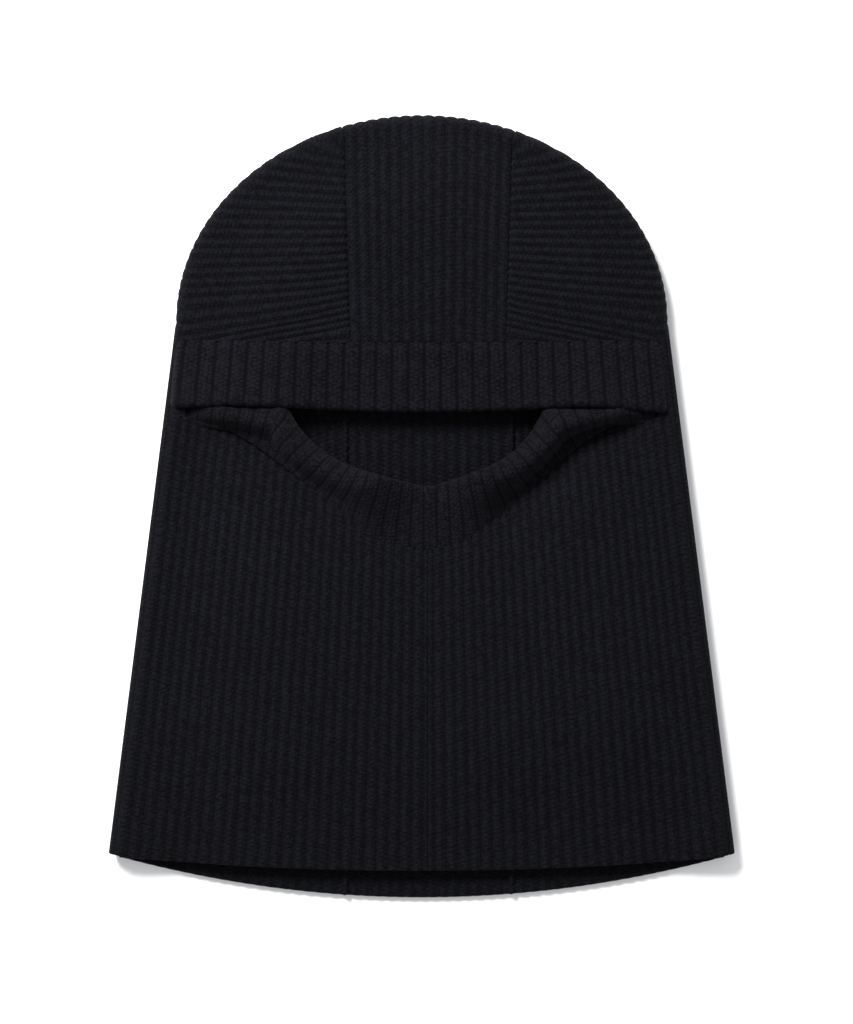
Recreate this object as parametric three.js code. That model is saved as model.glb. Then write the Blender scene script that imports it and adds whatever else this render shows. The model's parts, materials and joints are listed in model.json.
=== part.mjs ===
// A knitted balaclava hood, laid flat on a table with its face side up.
//
// The hood is cut as three ribbed panels: one long centre strip that runs from the back hem up over the
// crown and down to the brow, and two side panels that wrap from the back round the side folds to the front.
// A rib band, folded double, is linked round the face opening, and its ends meet at the chin. Linking
// ridges of yarn join the panels on the inside.
//
// Frame: millimetres, X to the right, Y from hem to crown, Z up, the table at z = 0, origin in the middle.
// Each fabric point is worked out as a place on the middle of the fabric with the direction that faces out
// of the hood, and half the fabric's thickness is laid to each side of it.

import * as THREE from 'three';

// Overall outline
const CROWN_Y = 180; // top of the crown fold
const DOME_HEIGHT = 95; // from the widest line of the crown up to its top
const DOME_HALF_WIDTH = 113;
const HEM_HALF_WIDTH = 144;
const HEM_CORNER_Y = -160;
const BACK_HEM_DIP = 20; // how far the middle of the back hem hangs below its corners
const FRONT_HEM_DIP = 7;

// Fabric
const FABRIC = 3.5; // fisherman's rib, one layer
const FOLD_RADIUS = 6; // outside of the soft fold round the crown and down the sides
const LOFT_RUN = 50; // distance in from the fold over which the front swells up to the brow's height
const JOIN_GAP = 0.3; // clearance between two edges that are linked together

// Centre strip
const MIDDLE_X = 3; // the middle rib lies this far right of the outline's middle
const STRIP_WIDTH = 76.5;
const STRIP_BROW_WIDTH = 71;
const CROWN_CORNER = 12; // side panel's first row, alongside the strip below the crown fold

// Face opening and its band
const BROW_Y = 76; // where the band is linked to the crown, at the temples
const BROW_SAG = 1.5;
const TEMPLE_Y = 41; // where the band is linked to the neck panels, at the side folds
const CHIN_Y = -19.5;
const BIB_RUN_LEFT = 112; // from the chin out to where the neck panel's top edge levels off
const BIB_RUN_RIGHT = 98;
const BAND_WIDTH = 29;
const BAND_BROW_SAG = 3.7; // how far the middle of the brow's free edge hangs
const BAND_THICKNESS = 4.5; // two layers of finer rib
const BAND_CLEARANCE = 0.6; // between the brow and the cheek lengths that lie under it
const BAND_GAP = 0.6; // beside the edge that the band is linked to
const CHIN_FREE_Y = 8.5; // bottom of the open V
const OPEN_HALF_LEFT = 63; // half-width of the open V at OPEN_TOP_Y
const OPEN_HALF_RIGHT = 52;
const OPEN_TOP_Y = 42.5;
const OPEN_CURVE = 1.9;
const CHEEK_RISE = 1.6; // how far the cheeks' free edge stands up between chin and brow
const TURN_RUN = 22.35; // where each cheek length starts to turn up under the brow, in from the side fold
const TURN_RADIUS = 1.5;
const TEMPLE_INSET_LEFT = 0.9; // brow's ends, in from the outline
const TEMPLE_INSET_RIGHT = 4.4;
const CHIN_JOIN_X = 7;

// Linking ridges inside the hood
const RIDGE_WIDTH = 2.4;
const RIDGE_HEIGHT = 1.2;
const RIDGE_SLACK = 0.1;

// Care label
const LABEL_WIDTH = 25;
const LABEL_LENGTH = 42;
const LABEL_THICKNESS = 0.5;
const LABEL_Y = -110;
const THREAD_WIDTH = 1;
const THREAD_HEIGHT = 0.4;

// How finely the fabric is divided
const BACK_COLUMNS = 5;
const FOLD_COLUMNS = 6;
const LIP_COLUMNS_LEFT = 1; // of the fold, left standing beside the face opening
const LIP_COLUMNS_RIGHT = 2;
const FRONT_COLUMNS = 12;
const DOME_ROWS = 8;
const NECK_ROWS = 9;
const BROW_STATIONS = 12;
const TURN_STATIONS = 4; // on each of the three sides of a turn
const CHEEK_STATIONS = 12;

// What follows from those
const DOME_Y = CROWN_Y - DOME_HEIGHT;
const FOLD_MID = FOLD_RADIUS - FABRIC / 2;
const BACK_Z = FABRIC / 2;
const FRONT_Z = FOLD_RADIUS + FOLD_MID;
const RIDGE_ROOM = JOIN_GAP + RIDGE_HEIGHT;
const CHEEK_Z = FABRIC + RIDGE_ROOM + JOIN_GAP + RIDGE_SLACK + BAND_THICKNESS / 2;
const BROW_Z = CHEEK_Z + BAND_THICKNESS + BAND_CLEARANCE;
const OVER_SEAM_Z = CHEEK_Z + RIDGE_ROOM;
const DOME_A = DOME_HALF_WIDTH - FOLD_RADIUS;
const DOME_B = DOME_HEIGHT - FOLD_RADIUS;
const SIDE_SLOPE = (HEM_HALF_WIDTH - DOME_HALF_WIDTH) / (DOME_Y - HEM_CORNER_Y);
const TURN_X = foldHalfWidth((BROW_Y + TEMPLE_Y) / 2) - TURN_RUN;

const mix = THREE.MathUtils.lerp;
const smooth = (value, low, high) => THREE.MathUtils.smoothstep(value, low, high);
const steps = (count) => Array.from({ length: count + 1 }, (_, i) => i / count);

// ---- Outline --------------------------------------------------------------------------------------

// Centre line of the side fold, as a half-width at height y.
function foldHalfWidth(y) {
  return DOME_A + (DOME_Y - y) * SIDE_SLOPE;
}

// A place on the fold's centre line with the direction that faces out of it, on the dome by its angle.
function domeFold(side, angle) {
  const place = new THREE.Vector2(side * DOME_A * Math.sin(angle), DOME_Y + DOME_B * Math.cos(angle));
  const out = new THREE.Vector2(side * Math.sin(angle) / DOME_A, Math.cos(angle) / DOME_B).normalize();
  return { place, out };
}

function sideFold(side, y) {
  const place = new THREE.Vector2(side * foldHalfWidth(y), y);
  return { place, out: new THREE.Vector2(side, SIDE_SLOPE).normalize() };
}

// Distance in from the outline.
function inset(x, y) {
  if (y < DOME_Y) return DOME_HALF_WIDTH + (DOME_Y - y) * SIDE_SLOPE - Math.abs(x);
  return DOME_HALF_WIDTH * (1 - Math.hypot(x / DOME_HALF_WIDTH, (y - DOME_Y) / DOME_HEIGHT));
}

const backHem = (x) => HEM_CORNER_Y - BACK_HEM_DIP * (1 - (x / HEM_HALF_WIDTH) ** 2);
const frontHem = (x) => HEM_CORNER_Y - FRONT_HEM_DIP * (1 - (x / HEM_HALF_WIDTH) ** 2);
const browEdge = (x) => BROW_Y - BROW_SAG * (1 - (x / DOME_HALF_WIDTH) ** 2);

// Top edge of the neck panels, from the chin up to the temples.
function bibEdge(x) {
  const run = x < MIDDLE_X ? BIB_RUN_LEFT : BIB_RUN_RIGHT;
  return CHIN_Y + (TEMPLE_Y - CHIN_Y) * smooth(Math.abs(x - MIDDLE_X), 0, run);
}

// ---- Places on the fabric -------------------------------------------------------------------------

const openHalf = (side) => (side < 0 ? OPEN_HALF_LEFT : OPEN_HALF_RIGHT);

// Height of the cheek band's middle: level with the front at the chin, low where it goes under the brow,
// with room to cross the centre strip's seam, which lies on the back.
function cheekZ(x) {
  const side = Math.sign(x - MIDDLE_X) || 1;
  const out = Math.abs(x - MIDDLE_X);
  const level = mix(BROW_Z, CHEEK_Z, smooth(out / openHalf(side), 0.4, 0.92));
  const aside = Math.abs(out - STRIP_WIDTH / 2);
  const nearSeam = 1 - smooth(aside, 1.5 * RIDGE_WIDTH, 5 * RIDGE_WIDTH);
  return level + Math.max(0, OVER_SEAM_Z - level) * nearSeam;
}

// Height of the cheek's free edge, which stands up a little until it goes under the brow.
function cheekFreeZ(side, out) {
  const share = out / openHalf(side);
  const rise = CHEEK_RISE * Math.sin(Math.PI * Math.min(1, share));
  return mix(BROW_Z, CHEEK_Z, smooth(share, 0.7, 0.96)) + rise * (1 - smooth(share, 0.6, 0.96));
}

function loftZ(x, y) {
  return mix(FRONT_Z, BROW_Z, smooth(inset(x, y), FOLD_RADIUS, FOLD_RADIUS + LOFT_RUN));
}

// The neck panels dip to the band beside the cheeks.
function frontZ(x, y) {
  const below = bibEdge(x) - y;
  const level = loftZ(x, y);
  if (below < -1) return level;
  const dip = Math.max(0, level - cheekZ(x)) * Math.exp(-Math.max(0, below) / 12);
  return level - dip * smooth(inset(x, y), FOLD_RADIUS, FOLD_RADIUS + 20);
}

function onBack(x, y) {
  return { place: new THREE.Vector3(x, y, BACK_Z), out: new THREE.Vector3(0, 0, -1) };
}

function onFront(x, y) {
  const d = 0.5;
  const slopeX = (frontZ(x + d, y) - frontZ(x - d, y)) / (2 * d);
  const slopeY = (frontZ(x, y + d) - frontZ(x, y - d)) / (2 * d);
  const out = new THREE.Vector3(-slopeX, -slopeY, 1).normalize();
  return { place: new THREE.Vector3(x, y, frontZ(x, y)), out };
}

// Round the fold, from the back (turn 0) to the front (turn 1).
function onFold(fold, turn) {
  const sweep = Math.sin(Math.PI * turn);
  const out = new THREE.Vector3(fold.out.x * sweep, fold.out.y * sweep, -Math.cos(Math.PI * turn));
  const place = new THREE.Vector3(fold.place.x, fold.place.y, FOLD_RADIUS);
  return { place: place.addScaledVector(out, FOLD_MID), out };
}

// ---- Solids ---------------------------------------------------------------------------------------

function solid(points, faces) {
  const geometry = new THREE.BufferGeometry();
  const volume = faces.reduce((sum, [a, b, c]) => {
    return sum + points[a].dot(new THREE.Vector3().crossVectors(points[b], points[c]));
  }, 0);
  const order = volume > 0 ? faces : faces.map(([a, b, c]) => [a, c, b]);
  geometry.setAttribute('position', new THREE.Float32BufferAttribute(points.flatMap((p) => p.toArray()), 3));
  geometry.setIndex(order.flat());
  geometry.computeVertexNormals();
  return geometry;
}

// A thick sheet on a grid of fabric points, less the cells that isCut names.
function sheet(grid, isCut = () => false) {
  const rows = grid.length;
  const columns = grid[0].length;
  const points = [];
  const faces = [];
  for (const half of [FABRIC / 2, -FABRIC / 2]) {
    for (const row of grid) {
      for (const { place, out } of row) points.push(place.clone().addScaledVector(out, half));
    }
  }
  const outer = (i, j) => i * columns + j;
  const inner = (i, j) => rows * columns + outer(i, j);
  const quad = (a, b, c, d) => faces.push([a, b, c], [a, c, d]);
  const kept = (i, j) => i >= 0 && j >= 0 && i < rows - 1 && j < columns - 1 && !isCut(i, j);
  for (let i = 0; i < rows - 1; i += 1) {
    for (let j = 0; j < columns - 1; j += 1) {
      if (!kept(i, j)) continue;
      quad(outer(i, j), outer(i, j + 1), outer(i + 1, j + 1), outer(i + 1, j));
      quad(inner(i, j), inner(i + 1, j), inner(i + 1, j + 1), inner(i, j + 1));
      if (!kept(i - 1, j)) quad(outer(i, j), inner(i, j), inner(i, j + 1), outer(i, j + 1));
      if (!kept(i + 1, j)) quad(outer(i + 1, j + 1), inner(i + 1, j + 1), inner(i + 1, j), outer(i + 1, j));
      if (!kept(i, j - 1)) quad(outer(i + 1, j), inner(i + 1, j), inner(i, j), outer(i, j));
      if (!kept(i, j + 1)) quad(outer(i, j + 1), inner(i, j + 1), inner(i + 1, j + 1), outer(i + 1, j + 1));
    }
  }
  return packed(points, faces);
}

// Drops the points that no face uses.
function packed(points, faces) {
  const used = [...new Set(faces.flat())].sort((a, b) => a - b);
  const place = new Map(used.map((old, now) => [old, now]));
  return solid(used.map((i) => points[i]), faces.map((face) => face.map((i) => place.get(i))));
}

// Joins rings of points, each with the same count, into one body: closed into a loop, or capped.
function skin(rings, isLoop = false) {
  const count = rings[0].length;
  const points = rings.flat();
  const faces = [];
  const last = isLoop ? rings.length : rings.length - 1;
  for (let i = 0; i < last; i += 1) {
    const next = (i + 1) % rings.length;
    for (let j = 0; j < count; j += 1) {
      const k = (j + 1) % count;
      faces.push([i * count + j, i * count + k, next * count + k]);
      faces.push([i * count + j, next * count + k, next * count + j]);
    }
  }
  if (!isLoop) {
    const end = (rings.length - 1) * count;
    for (let j = 1; j < count - 1; j += 1) {
      faces.push([0, j + 1, j]);
      faces.push([end, end + j, end + j + 1]);
    }
  }
  return solid(points, faces);
}

// A flat ridge of yarn along a path of {place, out}: a six-sided section, wide across the seam.
function ridge(path, width, height, isLoop = false) {
  const section = [[0.5, 0], [0.3, 0.5], [-0.3, 0.5], [-0.5, 0], [-0.3, -0.5], [0.3, -0.5]];
  const rings = path.map(({ place, out }, i) => {
    const before = path[isLoop ? (i - 1 + path.length) % path.length : Math.max(0, i - 1)].place;
    const after = path[isLoop ? (i + 1) % path.length : Math.min(path.length - 1, i + 1)].place;
    const along = new THREE.Vector3().subVectors(after, before).normalize();
    const across = new THREE.Vector3().crossVectors(along, out).normalize();
    const up = new THREE.Vector3().crossVectors(across, along).normalize();
    return section.map(([a, b]) => {
      return place.clone().addScaledVector(across, a * width).addScaledVector(up, b * height);
    });
  });
  return skin(rings, isLoop);
}

// ---- Centre strip ---------------------------------------------------------------------------------

const stripHalf = STRIP_WIDTH / 2;
const seamX = (side) => MIDDLE_X + side * stripHalf;
const domeAngle = (x) => Math.asin(Math.abs(x) / DOME_A);

// Where a rib of the strip at x on the back lies on the front, at height y.
function stripFrontX(x, y) {
  const top = domeFold(1, domeAngle(x)).place.y;
  const taper = (top - y) / (top - browEdge(MIDDLE_X));
  return MIDDLE_X + (x - MIDDLE_X) * mix(1, STRIP_BROW_WIDTH / STRIP_WIDTH, taper);
}

// One rib of the strip: up the back, round the crown fold, down the front.
function stripRib(x) {
  const fold = domeFold(Math.sign(x) || 1, domeAngle(x));
  const back = steps(8).slice(0, -1).map((f) => onBack(x, mix(backHem(x), fold.place.y, f)));
  const round = steps(FOLD_COLUMNS).map((f) => onFold(fold, f));
  const front = steps(8).slice(1).map((f) => {
    const y = mix(fold.place.y, browEdge(stripFrontX(x, BROW_Y)), f);
    return onFront(stripFrontX(x, y), y);
  });
  return [...back, ...round, ...front];
}

function centreStrip() {
  const half = stripHalf - JOIN_GAP / 2;
  return sheet(steps(6).map((f) => stripRib(MIDDLE_X + mix(-half, half, f))));
}

// ---- Side panels ----------------------------------------------------------------------------------

// Rows from the crown's corner down to the hem. Each has its place on the fold and its two inner ends.
function panelRows(side) {
  const x = seamX(side) + side * JOIN_GAP / 2;
  const start = domeAngle(x);
  const topY = domeFold(side, start).place.y - CROWN_CORNER;
  const dome = steps(DOME_ROWS).slice(0, -1).map((f) => {
    const y = mix(topY, DOME_Y, f);
    return { fold: domeFold(side, mix(start, Math.PI / 2, f)), seamY: y, kind: 'crown' };
  });
  const crown = [DOME_Y, BROW_Y].map((y) => ({ fold: sideFold(side, y), seamY: y, kind: 'crown' }));
  const temple = { fold: sideFold(side, (BROW_Y + TEMPLE_Y) / 2), kind: 'open' };
  const neck = steps(NECK_ROWS).map((f) => ({ fold: sideFold(side, mix(TEMPLE_Y, HEM_CORNER_Y, f)), kind: 'neck' }));
  return [...dome, ...crown, temple, ...neck];
}

function panelBack(side, row) {
  const x = seamX(side) + side * JOIN_GAP / 2;
  const { place } = row.fold;
  const height = (place.y - HEM_CORNER_Y) / (DOME_Y - HEM_CORNER_Y);
  const straight = (at) => mix(backHem(at), DOME_Y, height);
  return steps(BACK_COLUMNS).slice(0, -1).map((f) => {
    const at = mix(x, place.x, f);
    if (place.y > DOME_Y) return onBack(at, mix(row.seamY, place.y, f));
    return onBack(at, straight(at) + f * (place.y - straight(place.x)));
  });
}

function crownFront(side, row) {
  const x = seamX(side) + side * JOIN_GAP / 2;
  const seam = new THREE.Vector2(stripFrontX(x, row.seamY), row.seamY);
  const { place } = row.fold;
  const isEdge = row.seamY === BROW_Y;
  return steps(FRONT_COLUMNS).slice(1).map((f) => {
    const at = mix(place.x, seam.x, f);
    return onFront(at, isEdge ? browEdge(at) + (1 - f) * (place.y - browEdge(place.x)) : mix(place.y, seam.y, f));
  });
}

function neckFront(side, row) {
  const { place } = row.fold;
  const height = (place.y - HEM_CORNER_Y) / (TEMPLE_Y - HEM_CORNER_Y);
  const straight = (at) => mix(frontHem(at), bibEdge(at), height);
  return steps(FRONT_COLUMNS).slice(1).map((f) => {
    const at = mix(place.x, MIDDLE_X + side * JOIN_GAP / 2, f);
    return onFront(at, straight(at) + (1 - f) * (place.y - straight(place.x)));
  });
}

function sidePanel(side) {
  const rows = panelRows(side);
  const grid = rows.map((row) => {
    const front = row.kind === 'neck' ? neckFront(side, row) : crownFront(side, { seamY: BROW_Y, ...row });
    return [...panelBack(side, row), ...steps(FOLD_COLUMNS).map((f) => onFold(row.fold, f)), ...front];
  });
  const open = rows.findIndex((row) => row.kind === 'open');
  const lip = BACK_COLUMNS + (side < 0 ? LIP_COLUMNS_LEFT : LIP_COLUMNS_RIGHT);
  return sheet(grid, (i, j) => (i === open - 1 || i === open) && j >= lip);
}

// ---- Face band ------------------------------------------------------------------------------------

// A section of the band runs from its linked edge, at height z, to its free edge.
const section = (edgeX, edgeY, freeX, freeY, z, freeZ = z) => ({
  edge: new THREE.Vector2(edgeX, edgeY),
  free: new THREE.Vector2(freeX, freeY),
  z,
  freeZ,
});

const templeX = (side) => {
  const half = foldHalfWidth((BROW_Y + TEMPLE_Y) / 2) + FOLD_RADIUS;
  return side * (half - (side < 0 ? TEMPLE_INSET_LEFT : TEMPLE_INSET_RIGHT));
};

const bandFreeY = (x) => BROW_Y - BAND_WIDTH - BAND_BROW_SAG * (1 - (x / TURN_X) ** 2);
// The gap is measured square to the panels' edge, plus a little for its curve.
const linkedToBib = (x) => {
  const slope = bibEdge(x + 0.5) - bibEdge(x - 0.5);
  return bibEdge(x) + BAND_GAP * Math.hypot(1, slope) * (1 + Math.min(1, Math.abs(slope)));
};
const linkedToBrow = (x) => browEdge(x) - BAND_GAP;

function browSections() {
  return steps(BROW_STATIONS).map((f) => {
    const x = mix(TURN_X, -TURN_X, f);
    return section(x, linkedToBrow(x), x, bandFreeY(x), BROW_Z);
  });
}

// The cheek's free edge: the open V, then level under the brow.
function cheekFree(side, share) {
  const out = share * TURN_X;
  const turnY = bandFreeY(TURN_X);
  const y = CHIN_FREE_Y + (OPEN_TOP_Y - CHIN_FREE_Y) * (out / openHalf(side)) ** OPEN_CURVE;
  return new THREE.Vector2(out, Math.min(y, turnY));
}

function cheekSections(side) {
  const first = CHIN_JOIN_X + side * JOIN_GAP / 2;
  const last = side * TURN_X;
  return steps(CHEEK_STATIONS).slice(0, -1).map((f) => {
    const x = mix(first, last, f);
    const lean = mix(1, 0.75, Math.sin(Math.PI * f));
    const free = cheekFree(side, Math.abs(x - MIDDLE_X) * lean / TURN_X);
    const freeX = f === 0 ? x : MIDDLE_X + side * free.x;
    return section(x, linkedToBib(x), freeX, free.y, cheekZ(x), cheekFreeZ(side, free.x));
  });
}

// At the temple the band turns from the cheek, under the brow, round to the brow.
function turnSections(side) {
  const pivot = new THREE.Vector2(side * TURN_X, bandFreeY(TURN_X) + TURN_RADIUS);
  const end = templeX(side);
  const lowY = TEMPLE_Y + 2 * BAND_GAP;
  const highY = linkedToBrow(end);
  const sides = steps(TURN_STATIONS);
  const edges = [
    ...sides.slice(0, -1).map((f) => {
      const x = mix(side * TURN_X, end, f);
      return new THREE.Vector2(x, mix(linkedToBib(x), lowY, f ** 3));
    }),
    ...sides.slice(0, -1).map((f) => new THREE.Vector2(end, mix(lowY, highY, f))),
    ...sides.slice(0, -1).map((f) => new THREE.Vector2(mix(end, side * TURN_X, f), highY)),
  ];
  return edges.map((edge, i) => {
    const inward = new THREE.Vector2().subVectors(edge, pivot).normalize();
    const free = pivot.clone().addScaledVector(inward, TURN_RADIUS);
    return section(edge.x, edge.y, free.x, free.y, mix(CHEEK_Z, BROW_Z, smooth(i / edges.length, 0, 1)));
  });
}

// From the chin up the right cheek, over the brow and down the left cheek.
function bandSections() {
  const right = [...cheekSections(1), ...turnSections(1)];
  const left = [...cheekSections(-1), ...turnSections(-1)];
  return [...right, ...browSections(), ...left.reverse()];
}

function faceBand() {
  const half = BAND_THICKNESS / 2;
  const soft = BAND_THICKNESS / 3;
  const rings = bandSections().map(({ edge, free, z, freeZ }) => {
    const run = new THREE.Vector2().subVectors(free, edge);
    const at = (distance, up) => {
      const share = distance / run.length();
      const p = edge.clone().addScaledVector(run, share);
      return new THREE.Vector3(p.x, p.y, mix(z, freeZ, share) + up);
    };
    const far = run.length();
    return [
      at(0, -half),
      at(far - soft, -half),
      at(far, -half / 2),
      at(far, half / 2),
      at(far - soft, half),
      at(0, half),
    ];
  });
  return skin(rings);
}

// ---- Linking ridges -------------------------------------------------------------------------------

// Moves a fabric point to the middle of a ridge that lies against its inner face.
function inside({ place, out }) {
  const depth = FABRIC / 2 + JOIN_GAP + RIDGE_HEIGHT / 2;
  return { place: place.clone().addScaledVector(out, -depth), out };
}

// The last points before the brow are left to the band's own ridge.
function stripSeam(side) {
  const path = stripRib(seamX(side)).map(inside);
  const end = path.at(-1);
  end.place.y += 2 * RIDGE_WIDTH;
  return ridge(path, RIDGE_WIDTH, RIDGE_HEIGHT);
}

function centreFrontSeam() {
  const top = CHIN_Y - RIDGE_WIDTH / 2;
  const path = steps(14).map((f) => inside(onFront(MIDDLE_X, mix(frontHem(MIDDLE_X), top, f))));
  return ridge(path, RIDGE_WIDTH, RIDGE_HEIGHT);
}

// Under the band's linked edge, all the way round.
function bandSeam() {
  const path = bandSections().map(({ edge, free, z }) => {
    const inward = new THREE.Vector2().subVectors(free, edge).normalize();
    const at = edge.clone().addScaledVector(inward, RIDGE_WIDTH / 2);
    const bottom = z - BAND_THICKNESS / 2;
    const place = new THREE.Vector3(at.x, at.y, bottom - JOIN_GAP - RIDGE_HEIGHT / 2);
    return { place, out: new THREE.Vector3(0, 0, 1) };
  });
  return ridge(path, RIDGE_WIDTH, RIDGE_HEIGHT, true);
}

function chinSeam() {
  const low = linkedToBib(CHIN_JOIN_X) + 1.5 * RIDGE_WIDTH;
  const z = cheekZ(CHIN_JOIN_X) - BAND_THICKNESS / 2 - JOIN_GAP - RIDGE_HEIGHT / 2;
  const path = [low, CHIN_FREE_Y].map((y) => {
    return { place: new THREE.Vector3(CHIN_JOIN_X, y, z), out: new THREE.Vector3(0, 0, 1) };
  });
  return ridge(path, RIDGE_WIDTH, RIDGE_HEIGHT);
}

// ---- Care label -----------------------------------------------------------------------------------

const labelX = seamX(-1) + RIDGE_WIDTH / 2 + JOIN_GAP;
const labelBottom = FABRIC + JOIN_GAP;

function careLabel() {
  const geometry = new THREE.BoxGeometry(LABEL_WIDTH, LABEL_LENGTH, LABEL_THICKNESS);
  return geometry.translate(labelX + LABEL_WIDTH / 2, LABEL_Y, labelBottom + LABEL_THICKNESS / 2);
}

function careLabelThread() {
  const z = labelBottom + LABEL_THICKNESS + JOIN_GAP + THREAD_HEIGHT / 2;
  const path = [-0.45, 0.45].map((f) => {
    const place = new THREE.Vector3(labelX + THREAD_WIDTH, LABEL_Y + f * LABEL_LENGTH, z);
    return { place, out: new THREE.Vector3(0, 0, 1) };
  });
  return ridge(path, THREAD_WIDTH, THREAD_HEIGHT);
}

// ---- The hood -------------------------------------------------------------------------------------

const knit = (color) => new THREE.MeshStandardMaterial({ color, roughness: 0.95, metalness: 0 });
const satin = new THREE.MeshStandardMaterial({ color: '#d9d9d4', roughness: 0.55, metalness: 0 });

const hood = new THREE.Group();

function add(name, geometry, material) {
  const mesh = new THREE.Mesh(geometry, material);
  mesh.name = name;
  hood.add(mesh);
}

add('centre_strip', centreStrip(), knit('#26272b'));
add('left_side_panel', sidePanel(-1), knit('#232428'));
add('right_side_panel', sidePanel(1), knit('#242529'));
add('face_band', faceBand(), knit('#292a2f'));
add('left_strip_seam', stripSeam(-1), knit('#1d1e21'));
add('right_strip_seam', stripSeam(1), knit('#1d1e21'));
add('centre_front_seam', centreFrontSeam(), knit('#1d1e21'));
add('face_band_seam', bandSeam(), knit('#1d1e21'));
add('chin_seam', chinSeam(), knit('#1d1e21'));
add('care_label', careLabel(), satin);
add('care_label_thread', careLabelThread(), knit('#2b2b2e'));

export default hood;
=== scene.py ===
# %% [markdown]
# A knitted balaclava, lying flat with its face side up. It is put together from five kinds of piece: a
# centre strip that runs up the back, over the crown and down to the brow; two side panels that wrap
# round from the back to the front; a folded band round the face opening; the chains of yarn that link
# them; and a small blank care label inside the neck.
#
# The frame comes first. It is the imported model, and every piece made here stands for one of its parts.

import json
import math

import bpy
import numpy as np
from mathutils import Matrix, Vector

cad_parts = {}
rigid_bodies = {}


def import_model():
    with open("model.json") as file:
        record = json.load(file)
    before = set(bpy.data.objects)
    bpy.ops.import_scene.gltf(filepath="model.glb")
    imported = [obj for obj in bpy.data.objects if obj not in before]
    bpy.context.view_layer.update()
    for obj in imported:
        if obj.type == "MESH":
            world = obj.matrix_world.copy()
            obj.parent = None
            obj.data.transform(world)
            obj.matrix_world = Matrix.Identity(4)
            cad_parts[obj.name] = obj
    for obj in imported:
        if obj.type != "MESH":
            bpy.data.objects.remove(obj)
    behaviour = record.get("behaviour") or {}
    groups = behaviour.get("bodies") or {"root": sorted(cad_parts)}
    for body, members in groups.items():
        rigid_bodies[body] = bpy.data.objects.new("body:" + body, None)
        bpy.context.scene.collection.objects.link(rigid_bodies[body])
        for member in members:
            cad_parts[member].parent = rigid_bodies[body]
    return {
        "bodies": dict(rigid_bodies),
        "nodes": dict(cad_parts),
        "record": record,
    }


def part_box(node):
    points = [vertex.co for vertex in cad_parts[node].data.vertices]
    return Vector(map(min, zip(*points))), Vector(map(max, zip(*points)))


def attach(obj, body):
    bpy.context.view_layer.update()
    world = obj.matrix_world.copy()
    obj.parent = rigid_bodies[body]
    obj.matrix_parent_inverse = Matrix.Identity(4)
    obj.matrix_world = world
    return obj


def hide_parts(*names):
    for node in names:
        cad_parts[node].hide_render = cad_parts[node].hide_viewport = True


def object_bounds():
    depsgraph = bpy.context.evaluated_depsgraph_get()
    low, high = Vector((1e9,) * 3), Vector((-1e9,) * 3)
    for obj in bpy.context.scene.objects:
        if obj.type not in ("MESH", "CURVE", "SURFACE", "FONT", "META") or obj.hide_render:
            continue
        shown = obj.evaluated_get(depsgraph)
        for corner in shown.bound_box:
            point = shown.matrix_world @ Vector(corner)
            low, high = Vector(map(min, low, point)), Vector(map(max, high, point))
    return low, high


# A new file may hold a cube, a light and a camera, which would be measured with the garment.
for left_over in list(bpy.data.objects):
    bpy.data.objects.remove(left_over)
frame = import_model()
cad_lo, cad_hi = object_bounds()
body = next(iter(frame["bodies"]))
print("body", body, "nodes", len(frame["nodes"]), "box", tuple(cad_lo), tuple(cad_hi))

# %% [markdown]
# Knitwear is easiest to think about in millimetres, so all the shapes are worked out in them and turned
# into metres when a mesh is made. The outline comes from the boxes of the frame's parts. The other sizes
# are the pattern that the garment is knitted to.

# %% Sizes of the garment, in millimetres
MM = 0.001


def box_mm(node):
    low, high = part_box(node)
    return np.array(low) / MM, np.array(high) / MM


crown_corner = box_mm("centre_strip")[1]
band_lo, band_hi = box_mm("face_band")
label_lo, label_hi = box_mm("care_label")
thread_lo, thread_hi = box_mm("care_label_thread")

HEM_HALF_WIDTH = cad_hi.x / MM
CROWN_Y = crown_corner[1]
DOME_HEIGHT = 95
DOME_HALF_WIDTH = 113
DOME_Y = CROWN_Y - DOME_HEIGHT
HEM_CORNER_Y = -160
BACK_HEM_DIP = 20
FRONT_HEM_DIP = 7
FABRIC = 3.5
FOLD_RADIUS = 6
FOLD_MID = FOLD_RADIUS - FABRIC / 2
BACK_Z = FABRIC / 2
FRONT_Z = 2 * FOLD_RADIUS - FABRIC / 2
DOME_A = DOME_HALF_WIDTH - FOLD_RADIUS
DOME_B = DOME_HEIGHT - FOLD_RADIUS
SIDE_SLOPE = (HEM_HALF_WIDTH - DOME_HALF_WIDTH) / (DOME_Y - HEM_CORNER_Y)

STRIP_WIDTH = 76.5
STRIP_BROW_WIDTH = 71
MIDDLE_X = frame["record"]["mounts"][0]["pos_m"][0] / MM
JOIN_GAP = 0.04
BROW_Y = band_hi[1] + 0.5
BROW_SAG = 1.5
TEMPLE_Y = 41
CHIN_Y = -19.5
BIB_RUN = {-1: 112, 1: 98}
BAND_WIDTH = 29
BAND_BROW_SAG = 3.7
BAND_THICKNESS = 4.5
BAND_END = {-1: band_lo[0], 1: band_hi[0]}
CHIN_FREE_Y = 8.5
OPEN_HALF = {-1: 63, 1: 52}
OPEN_TOP_Y = 42.5
OPEN_SLOPE = {-1: 0.25, 1: 0.33}
OPEN_CURVE = 5
TURN_X = 88
CHIN_JOIN_X = 7
BROW_Z = 12.75
CHEEK_Z = 7.65
OVER_SEAM_Z = 9.15
COURSE = 2.08
print("middle", round(MIDDLE_X, 2), "brow", round(BROW_Y, 2), "crown", round(CROWN_Y, 2))

# %% Small helpers for curves


def mix(a, b, share):
    return a + (b - a) * share


def smooth(x, low, high):
    t = np.clip((x - low) / (high - low), 0, 1)
    return t * t * (3 - 2 * t)


def unit(v):
    return v / np.maximum(np.linalg.norm(v, axis=-1, keepdims=True), 1e-9)


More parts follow.
